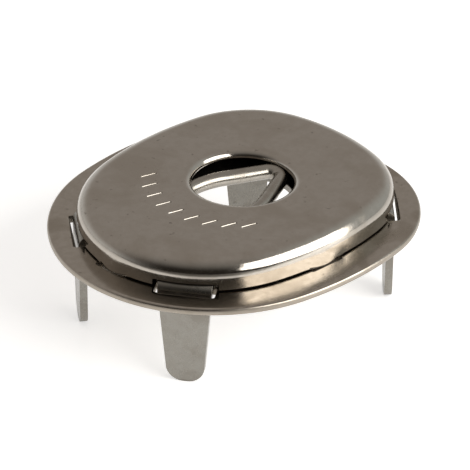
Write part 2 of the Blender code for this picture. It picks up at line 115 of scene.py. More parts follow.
# Lugs of the cap, folded in under the base plate
LUG_WIDTH = 2.10 * MM
LUG_THICKNESS = 0.40 * MM
LUG_FOLD_RADIUS = 0.16 * MM
LUG_FOOT_LENGTH = 1.45 * MM
LUG_SKIRT_OVERLAP = 0.45 * MM
LUG_SLOT_GAP = 0.16 * MM
LUG_GAP = 0.02 * MM
FLANK_LUG_SETBACK = 1.20 * MM
LUG_DIP_REACH = 1.70 * MM
LUG_DIP = 0.065 * MM
LUG_DIP_FILL = 0.85
LUG_BULGE = 0.13 * MM

# Hairpin spring
WIRE_RADIUS = 0.475 * MM
SPRING_APEX = 3.06 * MM
SPRING_APEX_RADIUS = 0.75 * MM
SPRING_SPLAY = math.radians(26.0)
SPRING_SHANK = 2.70 * MM
SPRING_BELLY_RADIUS = 5.0 * MM
SPRING_BELLY_TURN = math.radians(32.0)
SPRING_NECK = 0.80 * MM
SPRING_FOOT_RADIUS = 1.40 * MM
SPRING_FOOT_END = 6.446 * MM
SPRING_TRAVEL = 0.50 * MM

# Row of plain sunk bars beside the eye, in place of lettering; the profile gives how far
# each ring of the cutter is grown and how deep it lies, in millimetres
BAR_COUNT = 9
BAR_ARC_RADIUS = 5.75 * MM
BAR_ARC_MIDDLE = math.radians(-88)
BAR_ARC_STEP = math.radians(12.0)
BAR_TURN = math.radians(74)
BAR_HALF_LENGTH = 0.46 * MM
BAR_HALF_WIDTH = 0.075 * MM
BAR_PROFILE = ((0.0, 0.055), (0.030, 0.014), (0.045, 0.004), (0.065, 0.0), (0.10, -0.05))
BAR_END_STEPS = 6

# Fineness of the meshes
OUTLINE_CHORD = 0.10 * MM
SMALL_CHORD = 0.08 * MM
ROOF_RINGS = 24
SHOULDER_STEPS = 14
LIP_STEPS = 14
FOOT_STEPS = 5
INNER_STEPS = 4
FOLD_STEPS = 9
EDGE_STEPS = 3
TIP_STEPS = 3
BEND_STEPS = 12
WIRE_STEPS = 10
CIRCLE_SIDES = 192
PUNCH_STEPS = 4
PUNCH_CORNER_STEPS = 5
ROUND_PROFILE = 0.5
NEUTRAL_FIBRE = 0.4
ROOT_TAPER = 0.5
FOLD_RELIEF = 0.04 * MM
TINY = 0.00001 * MM
SHARP_ANGLE = math.radians(35)

# Camera fitted to the photo; CAMERA_SIDE is its level direction seen from the object
CAMERA_LENS = 225.8
CAMERA_SENSOR = 36
CAMERA_NEAR = 0.001
CAMERA_TARGET = Vector((1.666, -0.987, 5.8)) * MM
CAMERA_AWAY = Vector((0.6136, -0.5926, 0.5217)).normalized()
CAMERA_DISTANCE = 179.73 * MM
CAMERA_SIDE = Vector((0.7193, -0.6947, 0))

# Studio: radiances as plain linear colours; each span gives the cosines between which the
# room's tone changes, measured from the axis that it turns toward
SOFTBOX_AZIMUTH = math.radians(16.0)
SOFTBOX_DISTANCE = 0.40
SOFTBOX_WIDTH = 0.38
SOFTBOX_HEIGHT = 0.48
SOFTBOX_LEVEL = 0.24
SOFTBOX_RADIANCE = 4.5
SOFTBOX_COLOUR = (1.0, 0.985, 0.955)
ROOM_HIGH = (0.415, 0.385, 0.36)
ROOM_LOW = (0.75, 0.75, 0.74)
ROOM_LEFT = (0.55, 0.57, 0.56)
ROOM_DARK = (0.03, 0.026, 0.022)
ROOM_DUSK = (0.26, 0.25, 0.235)
ROOM_LOW_SPAN = (-0.45, 0.0)
ROOM_FRONT_SPAN = (-0.15, 0.85)
ROOM_HIGH_SPAN = (0.30, 0.95)
ROOM_LEFT_SPAN = (0.3, 0.9)
FLOOR_HALF_SIZE = 0.6
FLOOR_COLOUR = (0.90, 0.90, 0.90)
FLOOR_SHADE_COLOUR = (0.33, 0.325, 0.315)
FLOOR_SHADE_START = 0.020
FLOOR_SHADE_END = 0.044
FLOOR_ROUGHNESS = 0.30
FLOOR_IOR = 1.5
FLOOR_GLOW = 0.62

UP = Vector((0, 0, 1))
Arc = namedtuple("Arc", "x y radius start end")
Finish = namedtuple("Finish", "clean dull grime roughness stain stain_size edge inside "
                              "wave_size wave_depth peel_depth grain_depth")

# What each plated piece shows: colours, shares from 0 to 1, and sizes and depths in millimetres
# The darkest colour is for flecks, soiling and painted shade; inside is the painted shade's
# share under the cap
FINISHES = {
    "cap": Finish(
        clean=(0.465, 0.43, 0.385), dull=(0.39, 0.35, 0.30), grime=(0.10, 0.08, 0.055),
        roughness=0.12, stain=0.75, stain_size=3.2, edge=0.0, inside=0.9,
        wave_size=3.4, wave_depth=0.022, peel_depth=0.0032, grain_depth=0.0009),
    "base_plate": Finish(
        clean=(0.455, 0.415, 0.365), dull=(0.34, 0.30, 0.25), grime=(0.10, 0.08, 0.055),
        roughness=0.15, stain=0.85, stain_size=2.6, edge=0.8, inside=0.0,
        wave_size=2.8, wave_depth=0.020, peel_depth=0.0030, grain_depth=0.0008),
    "seat_plate": Finish(
        clean=(0.285, 0.272, 0.245), dull=(0.24, 0.22, 0.19), grime=(0.09, 0.07, 0.05),
        roughness=0.25, stain=0.7, stain_size=2.0, edge=0.0, inside=0.95,
        wave_size=2.4, wave_depth=0.014, peel_depth=0.0022, grain_depth=0.0005),
    "latch_spring": Finish(
        clean=(0.40, 0.375, 0.335), dull=(0.32, 0.29, 0.25), grime=(0.10, 0.08, 0.06),
        roughness=0.24, stain=0.6, stain_size=1.6, edge=0.0, inside=0.0,
        wave_size=2.6, wave_depth=0.030, peel_depth=0.0016, grain_depth=0.0004),
}

# Patterns shared by all pieces: blotch sizes in millimetres, the noise values between which a
# pattern sets in, and how strongly it tells
STAIN_SPAN = (0.46, 0.68)
MOTTLE_SIZE = 0.45
MOTTLE_SPAN = (0.35, 0.65)
MOTTLE_SHARE = 0.30
GRAIN_SIZE = 0.10
GRAIN_SPAN = (0.3, 0.7)
SPECK_SIZE = 0.34
SPECK_SPAN = (0.70, 0.76)
SPECK_SHARE = 0.45
SCRATCH_SIZE = 0.30
SCRATCH_STRETCH = (1.0, 0.06, 0.4)
SCRATCH_SPAN = (0.63, 0.70)
WAVE_STRETCH = (1, 1, 2.2)
# Darkening where other surfaces come near: partly soiling, partly painted shade in the crevices
DIRT_AND_SHADE_REACH = 0.35
DIRT_AND_SHADE_SPAN = (0.25, 0.85)
DIRT_AND_SHADE_MOTTLE_SPAN = (0.30, 0.60)
DIRT_AND_SHADE_MOTTLE_SHARES = (0.45, 0.85)
# Painted shade through the hollow under the cap, standing in for the shadow there
INSIDE_SHADE_REACH = 2.6
INSIDE_SHADE_SPAN = (0.05, 0.38)
CREVICE_SAMPLES = 16
UPRIGHT_SPAN = (0.25, 0.75)
STAIN_ROUGHNESS = 0.07
GRAIN_ROUGHNESS = (-0.02, 0.03)
SCRATCH_ROUGHNESS = 0.06
EDGE_ROUGHNESS = 0.25
DIRT_AND_SHADE_ROUGHNESS = 0.2


def egg_arcs(front, rear, half_width, widest_ahead, flank, corner, tail):
    """The tangent arcs of the +X side, from the lift end to the rear."""
    flank_x = half_width - flank
    flank_y = -widest_ahead
    nose_room = front - widest_ahead
    nose = (flank ** 2 - flank_x ** 2 - nose_room ** 2) / (2 * (flank - nose_room))
    nose_y = nose - front
    tail_y = rear - tail
    span = math.hypot(flank_x, tail_y - flank_y)
    reach = flank - corner
    along = (reach ** 2 - (tail - corner) ** 2 + span ** 2) / (2 * span)
    across = math.sqrt(reach ** 2 - along ** 2)
    toward = Vector((-flank_x, tail_y - flank_y)) / span
    corner_x = flank_x + along * toward.x - across * toward.y
    corner_y = flank_y + along * toward.y + across * toward.x
    nose_end = math.atan2(nose_y - flank_y, -flank_x)
    flank_end = math.atan2(corner_y - flank_y, corner_x - flank_x)
    corner_end = math.atan2(corner_y - tail_y, corner_x)
    return [
        Arc(0, nose_y, nose, -math.pi / 2, nose_end),
        Arc(flank_x, flank_y, flank, nose_end, flank_end),
        Arc(corner_x, corner_y, corner, flank_end, corner_end),
        Arc(0, tail_y, tail, corner_end, math.pi / 2),
    ]


PLATE_ARCS = egg_arcs(PLATE_FRONT, PLATE_REAR, PLATE_HALF_WIDTH, PLATE_WIDEST_AHEAD,
                      PLATE_FLANK_RADIUS, PLATE_CORNER_RADIUS, PLATE_TAIL_RADIUS)
CAP_ARCS = egg_arcs(PLATE_FRONT - FLANGE_FRONT, PLATE_REAR - FLANGE_REAR,
                    PLATE_HALF_WIDTH - FLANGE_SIDE, CAP_WIDEST_AHEAD,
                    CAP_FLANK_RADIUS, CAP_CORNER_RADIUS, CAP_TAIL_RADIUS)


def point_on(arc, angle, inset):
    """A point of the arc drawn in by the inset."""
    reach = arc.radius - inset
    return Vector((arc.x + reach * math.cos(angle), arc.y + reach * math.sin(angle), 0))


def egg_outline(arcs, inset):
    """A closed loop of points, all arcs drawn in by the same inset."""
    side = []
    for arc in arcs:
        steps = math.ceil(arc.radius * (arc.end - arc.start) / OUTLINE_CHORD)
        for step in range(steps):
            side.append(point_on(arc, arc.start + (arc.end - arc.start) * step / steps, inset))
    rear = point_on(arcs[-1], math.pi / 2, inset)
    mirrored = [Vector((-point.x, point.y, 0)) for point in reversed(side[1:])]
    return side + [rear] + mirrored


def edge_point(arcs, angle):
    """The point of the outline whose outward normal has this angle, and that normal."""
    arc = next(arc for arc in arcs if arc.start <= angle <= arc.end)
    return point_on(arc, angle, 0), Vector((math.cos(angle), math.sin(angle), 0))


def frame_at(origin, first, third):
    """A local frame from its origin and its first and third axes."""
    second = third.cross(first)
    matrix = Matrix((first, second, third)).transposed().to_4x4()
    matrix.translation = origin
    return matrix


def new_object(name, data, matrix=None):
    """An object in the scene, its mesh moved into the part's frame."""
    if matrix:
        data.transform(matrix)
    item = bpy.data.objects.new(name, data)
    bpy.context.scene.collection.objects.link(item)
    return item


def mesh_from(name, body):
    """A mesh of this bmesh, which is freed."""
    mesh = bpy.data.meshes.new(name)
    body.to_mesh(mesh)
    body.free()
    return mesh


def add_skin(body, rings, endless):
    """Faces between closed rings of points; the ends are joined or capped."""
    loops = [[body.verts.new(point) for point in ring] for ring in rings]
    count = len(rings[0])
    pairs = zip(loops, loops[1:] + loops[:1]) if endless else zip(loops, loops[1:])
    for here, beyond in pairs:
        for step in range(count):
            after = (step + 1) % count
            body.faces.new((here[step], beyond[step], beyond[after], here[after]))
    if not endless:
        body.faces.new(loops[0])
        body.faces.new(loops[-1])
    bmesh.ops.recalc_face_normals(body, faces=body.faces)
    return body


def rounded_sheet(outline, bottom, top, rounding):
    """A flat sheet of this outline with its cut edges rounded over, as a bmesh."""
    sheet = bmesh.new()
    face = sheet.faces.new([sheet.verts.new((p.x, p.y, bottom)) for p in outline])
    lifted = bmesh.ops.extrude_face_region(sheet, geom=[face])["geom"]
    corners = [item for item in lifted if isinstance(item, bmesh.types.BMVert)]
    bmesh.ops.translate(sheet, verts=corners, vec=(0, 0, top - bottom))
    bmesh.ops.recalc_face_normals(sheet, faces=sheet.faces)
    rims = [edge for edge in sheet.edges
            if abs(edge.verts[0].co.z - edge.verts[1].co.z) < TINY]
    bmesh.ops.bevel(sheet, geom=rims, offset=rounding, segments=EDGE_STEPS,
                    profile=ROUND_PROFILE, affect="EDGES", clamp_overlap=True)
    return sheet


def rectangle(low, high, half, share):
    """A rectangle with round corners between two places along X, its sides drawn in."""
    radius = PUNCH_CORNER + share * PUNCH_ROLL
    points = []
    for quarter, (x, y) in enumerate(((high, half), (low, half), (low, -half), (high, -half))):
        centre = Vector((x - math.copysign(PUNCH_CORNER, x - (low + high) / 2),
                         y - math.copysign(PUNCH_CORNER, y), 0))
        for step in range(PUNCH_CORNER_STEPS + 1):
            angle = math.pi / 2 * (quarter + step / PUNCH_CORNER_STEPS)
            points.append(centre + radius * Vector((math.cos(angle), math.sin(angle), 0)))
    return points


def circle(radius):
    """A closed ring of points around the origin."""
    turns = [math.tau * step / CIRCLE_SIDES for step in range(CIRCLE_SIDES)]
    return [Vector((radius * math.cos(turn), radius * math.sin(turn), 0)) for turn in turns]


def punch(outline, bottom, top, roll=PUNCH_ROLL):
    """A cutter for a hole with its upper edge drawn in; the outline takes the share drawn in."""
    depth = top - bottom
    rings = [[point + (bottom - depth) * UP for point in outline(0)]]
    for step in range(PUNCH_STEPS + 1):
        angle = math.pi / 2 * step / PUNCH_STEPS
        level = top - roll * (1 - math.sin(angle))
        rings.append([point + level * UP for point in outline(1 - math.cos(angle))])
    rings.append([point + (top + depth) * UP for point in outline(1)])
    return mesh_from("punch", add_skin(bmesh.new(), rings, False))


def tab_outline(start, end, root_width, tip_width, tip_radius):
    """A tapered tab with round corners at its tip, as points (along, across)."""
    half = tip_width / 2
    steps = max(TIP_STEPS, math.ceil(tip_radius * math.pi / 2 / SMALL_CHORD))
    side = [Vector((start, root_width / 2, 0))]
    for step in range(steps + 1):
        angle = math.pi / 2 * (1 - step / steps)
        side.append(Vector((end - tip_radius + tip_radius * math.cos(angle),
                            half - tip_radius + tip_radius * math.sin(angle), 0)))
    other = [Vector((point.x, -point.y, 0)) for point in reversed(side)]
    return list(reversed(side + other))


def fold_length(thickness, radius):
    """The flat blank's length that a right-angled fold takes up."""
    return (radius + NEUTRAL_FIBRE * thickness) * math.pi / 2


def folded(point, thickness, radius):
    """Where a point of the flat tab goes when the tab is folded down at its line."""
    taken = fold_length(thickness, radius)
    turn = math.pi / 2 * min(max(point.x / taken, 0), 1)
    reach = radius + point.z
    before = min(point.x, 0)
    after = max(point.x - taken, 0)
    return Vector((before + reach * math.sin(turn), point.y,
                   reach * math.cos(turn) - radius - after))


def score(sheet, place, direction, length):
    """Cut the flat sheet along the lines at which a fold of this length turns."""
    for step in range(FOLD_STEPS + 1):
        everything = list(sheet.verts) + list(sheet.edges) + list(sheet.faces)
        bmesh.ops.bisect_plane(sheet, geom=everything, dist=TINY, plane_no=direction,
                               plane_co=place + direction * length * step / FOLD_STEPS)


def folded_tab(name, outline, thickness, radius, taper=1):
    """A flat blank with rounded edges, folded down through a right angle."""
    sheet = rounded_sheet(outline, 0, thickness, CUT_ROUNDING)
    score(sheet, Vector((0, 0, 0)), Vector((1, 0, 0)), fold_length(thickness, radius))
    for corner in sheet.verts:
        if corner.co.x < -TINY:
            corner.co.z = thickness / 2 + (corner.co.z - thickness / 2) * taper
        corner.co = folded(corner.co, thickness, radius)
    return mesh_from(name, sheet)


def boolean(item, tool, operation):
    """Cut or join a helper solid at once, and drop the helper."""
    modifier = item.modifiers.new(tool.name, "BOOLEAN")
    modifier.operation = operation
    modifier.solver = "EXACT"
    modifier.object = tool
    graph = bpy.context.evaluated_depsgraph_get()
    result = bpy.data.meshes.new_from_object(item.evaluated_get(graph))
    item.modifiers.clear()
    item.data = result
    bpy.data.objects.remove(tool, do_unlink=True)


def joined(pieces):
    """One object of helper solids that lie apart from each other."""
    body = bmesh.new()
    for piece in pieces:
        body.from_mesh(piece)
    return new_object("helper", mesh_from("helper", body))


def smooth(item):
    """Smooth shading in which the flat faces keep their own direction."""
    item.data.shade_smooth()
    item.data.set_sharp_from_angle(angle=SHARP_ANGLE)
    weigh = item.modifiers.new("flat_faces_lead", "WEIGHTED_NORMAL")
    weigh.keep_sharp = True


def prong_places():
    """The fold line's middle and outward direction of each prong."""
    places = []
    fold_inset = PRONG_RIM_MARGIN + SEAT_THICKNESS + PRONG_FOLD_RADIUS
    for angle in (FRONT_PRONG_ANGLE - math.pi / 2, math.pi / 2 - REAR_PRONG_ANGLE):
        point, normal = edge_point(PLATE_ARCS, angle)
        point = point - normal * fold_inset
        for side in (-1, 1):
            flip = Vector((side, 1, 1))
            places.append((point * flip, normal * flip))
    return places


def lug_places():
    """The foot of the cap's wall and the outward direction at each lug."""
    flank = CAP_ARCS[1]
    flank_angle = math.asin((-FLANK_LUG_SETBACK - flank.y) / flank.radius)
    places = []
    for angle, sides in ((-math.pi / 2, (1,)), (math.pi / 2, (1,)), (flank_angle, (-1, 1))):
        point, normal = edge_point(CAP_ARCS, angle)
        for side in sides:
            flip = Vector((side, 1, 1))
            places.append((point * flip, normal * flip))
    return places


EYE_SHIFT = Matrix.Translation((0, EYE_Y, 0))


def window_mesh(point, normal):
    """The cutter of a window in the base plate."""
    low = PRONG_FOLD_RADIUS - WINDOW_INNER_GAP
    high = PRONG_FOLD_RADIUS + SEAT_THICKNESS + WINDOW_OUTER_GAP - PUNCH_ROLL
    half = ARM_HALF_WIDTH + WINDOW_SIDE_GAP

    def outline(share):
        return rectangle(low, high - (1 - share) * WINDOW_DRAWN_IN, half, share)

    mesh = punch(outline, PLATE_BOTTOM, PLATE_TOP, WINDOW_DRAWN_DEPTH)
    mesh.transform(EYE_SHIFT @ frame_at(point, normal, UP))
    return mesh


def notch_mesh(point, normal):
    """The cutter of a notch in the cap's skirt, open at the skirt's foot."""
    half = ARM_HALF_WIDTH + ARM_SIDE_GAP
    low = SKIRT_BOTTOM - CAP_THICKNESS
    outline = [Vector((low, half, 0)), Vector((low, -half, 0))]
    for side, first in ((-1, math.pi * 1.5), (1, 0)):
        for step in range(PUNCH_CORNER_STEPS + 1):
            angle = first + math.pi / 2 * step / PUNCH_CORNER_STEPS
            outline.append(Vector((NOTCH_TOP + PUNCH_CORNER * (math.cos(angle) - 1),
                                   side * (half - PUNCH_CORNER) + PUNCH_CORNER * math.sin(angle),
                                   0)))
    rings = [[p + level * UP for p in outline] for level in (-half, half)]
    mesh = mesh_from("notch", add_skin(bmesh.new(), rings, False))
    mesh.transform(EYE_SHIFT @ frame_at(point, UP, normal))
    return mesh


def lug_mesh(point, normal):
    """A lug from inside the skirt, down through its slot and folded inward."""
    inset = (CAP_THICKNESS - LUG_THICKNESS) / 2
    fold_level = PLATE_BOTTOM - LUG_GAP + LUG_FOLD_RADIUS
    outline = tab_outline(fold_level - SKIRT_BOTTOM - LUG_SKIRT_OVERLAP,
                          fold_length(LUG_THICKNESS, LUG_FOLD_RADIUS) + LUG_FOOT_LENGTH,
                          LUG_WIDTH, LUG_WIDTH, LUG_THICKNESS)
    mesh = folded_tab("lug", outline, LUG_THICKNESS, LUG_FOLD_RADIUS)
    inner_face = point - normal * (inset + LUG_THICKNESS)
    mesh.transform(EYE_SHIFT @ frame_at(inner_face + fold_level * UP, -UP, normal))
    return mesh


def lug_slot_mesh(point, normal):
    """The cutter of a lug's slot in the base plate."""
    inset = (CAP_THICKNESS - LUG_THICKNESS) / 2
    half = LUG_WIDTH / 2 + LUG_SLOT_GAP
    inward = inset + LUG_THICKNESS + LUG_FOLD_RADIUS
    mesh = punch(lambda share: rectangle(-LUG_SLOT_GAP, inward, half, share),
                 PLATE_BOTTOM, PLATE_TOP)
    mesh.transform(EYE_SHIFT @ frame_at(point, -normal, UP))
    return mesh


def round_hole_mesh(radius, bottom, top):
    """The cutter of a round hole on the eye's axis."""
    mesh = punch(lambda share: circle(radius + share * PUNCH_ROLL), bottom, top)
    mesh.transform(EYE_SHIFT)
    return mesh


def finish_piece(item, node, body):
    """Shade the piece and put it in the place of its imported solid."""
    smooth(item)
    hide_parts(node)
    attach(item, body)
    return item


def make_base_plate():
    """The flange with its stud opening, lug slots and prong windows."""
    sheet = rounded_sheet(egg_outline(PLATE_ARCS, 0), PLATE_BOTTOM, PLATE_TOP,
                          PLATE_EDGE_ROUNDING)
    plate = new_object("base_plate_sheet", mesh_from("base_plate_sheet", sheet), EYE_SHIFT)
    holes = [round_hole_mesh(PLATE_OPENING_RADIUS, PLATE_BOTTOM, PLATE_TOP)]
    holes += [lug_slot_mesh(*place) for place in lug_places()]
    holes += [window_mesh(*place) for place in prong_places()]
    boolean(plate, joined(holes), "DIFFERENCE")
    return finish_piece(plate, "base_plate", "housing")


def with_prong(outline, point, normal):
    """The flat blank's outline, counter-clockwise, with an arm and its flat prong added."""
    along = Vector((-normal.y, normal.x, 0))
    length = (fold_length(SEAT_THICKNESS, PRONG_FOLD_RADIUS) + SEAT_BOTTOM - PRONG_FOLD_RADIUS)
    tab = tab_outline(CUT_ROUNDING, length, PRONG_ROOT_WIDTH, PRONG_TIP_WIDTH, PRONG_TIP_RADIUS)
    arm = [Vector((0, -ARM_HALF_WIDTH, 0))] + tab + [Vector((0, ARM_HALF_WIDTH, 0))]
    result = []
    for here, after in zip(outline, outline[1:] + outline[:1]):
        start = (here - point).dot(along)
        end = (after - point).dot(along)
        near = (here - point).dot(normal) > -ARM_HALF_WIDTH
        if not near or abs(start) > ARM_HALF_WIDTH:
            result.append(here)
        if near and start < -ARM_HALF_WIDTH <= end:
            result.append(here.lerp(after, (-ARM_HALF_WIDTH - start) / (end - start)))
            result += [point + spot.x * normal + spot.y * along for spot in arm]
        if near and start < ARM_HALF_WIDTH <= end:
            result.append(here.lerp(after, (ARM_HALF_WIDTH - start) / (end - start)))
    return result


def keeper_places():
    """The fold line's middle and direction of each keeper, around the spring's feet."""
    half = spring_half()
    foot_start, foot_end = half[-2], half[-1]
    middle = (foot_start.x + foot_end.x) / 2
    ahead = foot_end.y - WIRE_RADIUS - KEEPER_GAP + KEEPER_FOLD_RADIUS
    behind = foot_end.y + WIRE_RADIUS + SPRING_TRAVEL + KEEPER_GAP - KEEPER_FOLD_RADIUS
    places = []
    for side in (-1, 1):
        places.append((Vector((side * middle, ahead, 0)), Vector((0, -1, 0))))
        places.append((Vector((side * middle, behind, 0)), Vector((0, 1, 0))))
    return places


def keeper_blank_length():
    """The flat length of a keeper beyond its fold line."""
    return fold_length(SEAT_THICKNESS, KEEPER_FOLD_RADIUS) + KEEPER_HEIGHT - KEEPER_FOLD_RADIUS


def keeper_mesh(point, away):
    """A keeper turned up out of the seat plate."""
    outline = tab_outline(-KEEPER_ROOT_LENGTH, keeper_blank_length(), KEEPER_WIDTH,
                          KEEPER_WIDTH, KEEPER_CORNER_RADIUS)
    mesh = folded_tab("keeper", outline, SEAT_THICKNESS, KEEPER_FOLD_RADIUS, ROOT_TAPER)
    mesh.transform(EYE_SHIFT @ frame_at(point + SEAT_TOP * UP, away, -UP))
    return mesh


def keeper_slot_mesh(point, away):
    """The cutter of the opening that a keeper leaves."""
    half = KEEPER_WIDTH / 2 + KEEPER_KERF
    high = keeper_blank_length() + KEEPER_KERF
    mesh = punch(lambda share: rectangle(FOLD_RELIEF, high, half, share), SEAT_BOTTOM, SEAT_TOP)
    mesh.transform(EYE_SHIFT @ frame_at(point, away, UP))
    return mesh


def make_seat_plate():
    """The inner plate, its four arms folded down as prongs and its keepers lanced up."""
    outline = egg_outline(CAP_ARCS, SEAT_INSET)
    for point, normal in prong_places():
        outline = with_prong(outline, point, normal)
    sheet = rounded_sheet(outline, SEAT_BOTTOM, SEAT_TOP, CUT_ROUNDING)
    for point, normal in prong_places():
        score(sheet, point, normal, fold_length(SEAT_THICKNESS, PRONG_FOLD_RADIUS))
        place = frame_at(point + SEAT_BOTTOM * UP, normal, UP)
        flatten = place.inverted()
        for corner in sheet.verts:
            spot = flatten @ corner.co
            if spot.x > 0 and abs(spot.y) < ARM_HALF_WIDTH:
                corner.co = place @ folded(spot, SEAT_THICKNESS, PRONG_FOLD_RADIUS)
    seat = new_object("seat_plate_sheet", mesh_from("seat_plate_sheet", sheet), EYE_SHIFT)
    holes = [round_hole_mesh(SEAT_OPENING_RADIUS, SEAT_BOTTOM, SEAT_TOP)]
    holes += [keeper_slot_mesh(*place) for place in keeper_places()]
    boolean(seat, joined(holes), "DIFFERENCE")
    boolean(seat, joined([keeper_mesh(*place) for place in keeper_places()]), "UNION")
    return finish_piece(seat, "seat_plate", "housing")


def bar_mesh(number):
    """The cutter of one short sunk bar with sloping sides and round ends."""
    angle = BAR_ARC_MIDDLE + (number - (BAR_COUNT - 1) / 2) * BAR_ARC_STEP
    middle = BAR_ARC_RADIUS * Vector((math.cos(angle), math.sin(angle), 0))
    place = Matrix.Translation(middle) @ Matrix.Rotation(BAR_TURN, 4, "Z")
    rings = []
    for grown, depth in BAR_PROFILE:
        radius = BAR_HALF_WIDTH + grown * MM
        ring = []
        for end, start in ((1, -math.pi / 2), (-1, math.pi / 2)):
            for step in range(BAR_END_STEPS + 1):
                turn = start + math.pi * step / BAR_END_STEPS
                ring.append(Vector((end * BAR_HALF_LENGTH + radius * math.cos(turn),
                                    radius * math.sin(turn), CAP_TOP - depth * MM)))
        rings.append(ring)
    mesh = mesh_from("bar", add_skin(bmesh.new(), rings, False))
    mesh.transform(EYE_SHIFT @ place)
    return mesh


def foot_ring(inward, upward, inset):
    """A ring of the skirt's foot, given in shares of its rounding; it dips at the lugs."""
    ring = []
    lugs = [point for point, normal in lug_places()]
    for outer, inner in zip(egg_outline(CAP_ARCS, 0), egg_outline(CAP_ARCS, CAP_THICKNESS)):
        across = (inner - outer).normalized()
        away = min((outer - point).length for point in lugs)
        share = max(0, 1 - away / LUG_DIP_REACH)
        dip = share * share * (3 - 2 * share)
        rounding = FOOT_ROUNDING * (1 - LUG_DIP_FILL * dip)
        ring.append(outer + across * (inward * rounding + inset - LUG_BULGE * dip)
                    + (SKIRT_BOTTOM - LUG_DIP * dip + upward * rounding) * UP)
    return ring


def cap_rings():
    """Closed rings of the drawn cup, from the eye's edge below, over the roof and back."""
    rings = []
    shoulder_inner = egg_outline(CAP_ARCS, SHOULDER_RADIUS)
    directions = [point.normalized() for point in shoulder_inner]

    def turned(radius, level):
        rings.append([direction * radius + level * UP for direction in directions])

    def outline(inset, level):
        rings.append([point + level * UP for point in egg_outline(CAP_ARCS, inset)])

    turned(EYE_RADIUS, ROOF_BOTTOM)
    for step in range(LIP_STEPS + 1):
        angle = math.pi / 2 * step / LIP_STEPS
        turned(EYE_RADIUS + EYE_LIP_REACH * (1 - math.cos(angle)),
               CAP_TOP - EYE_LIP_DROP * (1 - math.sin(angle)))
    start = EYE_RADIUS + EYE_LIP_REACH
    for ring in range(1, ROOF_RINGS):
        share = ring / ROOF_RINGS
        points = []
        for direction, edge in zip(directions, shoulder_inner):
            points.append((direction * start).lerp(edge, share) + CAP_TOP * UP)
        rings.append(points)
    for step in range(SHOULDER_STEPS + 1):
        angle = math.pi / 2 * step / SHOULDER_STEPS
        outline(SHOULDER_RADIUS * (1 - math.sin(angle)),
                CAP_TOP - SHOULDER_RADIUS * (1 - math.cos(angle)))
    for step in range(FOOT_STEPS + 1):
        angle = math.pi / 2 * step / FOOT_STEPS
        rings.append(foot_ring(1 - math.cos(angle), 1 - math.sin(angle), 0))
    rings.append(foot_ring(0, 0, CAP_THICKNESS))
    inner_radius = SHOULDER_RADIUS - CAP_THICKNESS
    for step in range(INNER_STEPS + 1):
        angle = math.pi / 2 * (1 - step / INNER_STEPS)
        outline(CAP_THICKNESS + inner_radius * (1 - math.sin(angle)),
                ROOF_BOTTOM - inner_radius * (1 - math.cos(angle)))
    return rings


def make_cap():
    """The drawn cup as one skin of rings, with its notches cut and its lugs joined on."""
    skin = add_skin(bmesh.new(), cap_rings(), True)
    cap = new_object("cap_shell", mesh_from("cap_shell", skin), EYE_SHIFT)
    boolean(cap, joined([notch_mesh(*place) for place in prong_places()]), "DIFFERENCE")
    boolean(cap, joined([lug_mesh(*place) for place in lug_places()]), "UNION")
    boolean(cap, joined([bar_mesh(number) for number in range(BAR_COUNT)]), "DIFFERENCE")
    return finish_piece(cap, "cap", "housing")


def spring_half():
    """The wire's centre line from the middle of the rear bend to the end of one foot."""
    place = Vector((0, SPRING_APEX, 0))
    heading = math.pi
    points = [place.copy()]
    leg_turn = math.pi / 2 - SPRING_SPLAY
    foot_turn = leg_turn + SPRING_BELLY_TURN
    moves = ((SPRING_APEX_RADIUS, leg_turn), (SPRING_SHANK, 0),
             (SPRING_BELLY_RADIUS, SPRING_BELLY_TURN), (SPRING_NECK, 0),
             (SPRING_FOOT_RADIUS, -foot_turn))
    for size, turn in moves:
        if turn == 0:
            place = place + size * Vector((math.cos(heading), math.sin(heading), 0))
            points.append(place.copy())
            continue
        side = math.copysign(1, turn)
        centre = place + side * size * Vector((-math.sin(heading), math.cos(heading), 0))
        steps = max(BEND_STEPS, math.ceil(size * abs(turn) / SMALL_CHORD))
        for step in range(1, steps + 1):
            angle = heading + turn * step / steps
            points.append(centre - side * size * Vector((-math.sin(angle), math.cos(angle), 0)))
        heading += turn
        place = points[-1]
    points.append(Vector((-SPRING_FOOT_END, place.y, 0)))
    return points


def make_spring():
    """The hairpin: one round wire swept along its centre line."""
    half = spring_half()
    path = [Vector((-point.x, point.y, 0)) for point in reversed(half[1:])] + half
    curve = bpy.data.curves.new("hairpin_wire", "CURVE")
    curve.dimensions = "3D"
    curve.bevel_depth = WIRE_RADIUS
    curve.bevel_resolution = WIRE_STEPS
    curve.use_fill_caps = True
    spline = curve.splines.new("POLY")
    spline.points.add(len(path) - 1)
    for slot, point in zip(spline.points, path):
        slot.co = (point.x, point.y + EYE_Y, WIRE_LEVEL, 1)
    spline.use_smooth = True
    wire = new_object("wire_path", curve)
    graph = bpy.context.evaluated_depsgraph_get()
    mesh = bpy.data.meshes.new_from_object(wire.evaluated_get(graph))
    bpy.data.objects.remove(wire, do_unlink=True)
    ends = bmesh.new()
    ends.from_mesh(mesh)
    bmesh.ops.remove_doubles(ends, verts=ends.verts, dist=TINY)
    spring = new_object("hairpin_wire", mesh_from("hairpin_wire", ends))
    return finish_piece(spring, "latch_spring", "spring")


